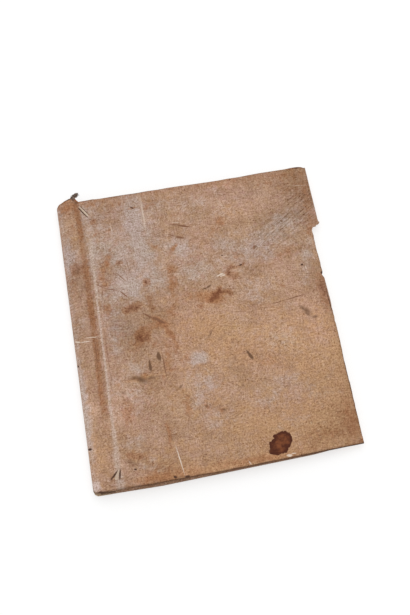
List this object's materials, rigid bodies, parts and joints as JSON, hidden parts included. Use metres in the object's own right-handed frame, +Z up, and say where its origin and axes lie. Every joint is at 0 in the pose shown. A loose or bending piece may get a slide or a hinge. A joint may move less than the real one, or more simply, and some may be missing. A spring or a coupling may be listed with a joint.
{
  "type": "limp-bound manuscript",
  "caption": "Thin handwritten book in a limp brown skin cover with turned-in edges, laced endband slips and a slumped sewn text block, worn and torn at the fore edge.",
  "frame": {"origin": "middle of the back cover's outer face, on the surface the book rests on", "axes": "+X from the spine to the fore edge, +Y along the spine from tail to head, +Z up out of the front cover"},
  "size_m": [0.2002, 0.2359, 0.0129],
  "materials": {
    "cover_skin": "matt",
    "leaves": "matt",
    "support_skin": "matt",
    "core_skin": "matt",
    "slip_skin": "matt",
    "frayed_skin": "matt",
    "thread": "matt"
  },
  "bodies": {
    "book_block": {"text_block": "leaves", "spine_cover": "cover_skin", "sewing_support_1": "support_skin", "sewing_support_2": "support_skin", "sewing_support_3": "support_skin", "sewing_support_4": "support_skin", "sewing_support_5": "support_skin", "sewing_thread": "thread", "head_endband_core": "core_skin", "tail_endband_core": "core_skin", "head_endband_winding": "thread", "tail_endband_winding": "thread", "tail_slip_front": "slip_skin", "frayed_core_end": "frayed_skin"},
    "front_cover": {"front_cover": "cover_skin", "head_slip_front": "slip_skin"},
    "back_cover": {"back_cover": "cover_skin", "head_slip_back": "slip_skin", "tail_slip_back": "slip_skin"}
  },
  "joints": [
    {"name": "front_cover_hinge", "type": "hinge", "parent": "book_block", "child": "front_cover", "pos_m": [-0.0715, 0, 0.0123], "axis": [0, -1, 0], "range_deg": [0, 180]},
    {"name": "back_cover_hinge", "type": "hinge", "parent": "book_block", "child": "back_cover", "pos_m": [-0.09, 0, 0.001], "axis": [0, 1, 0], "range_deg": [0, 180]}
  ]
}
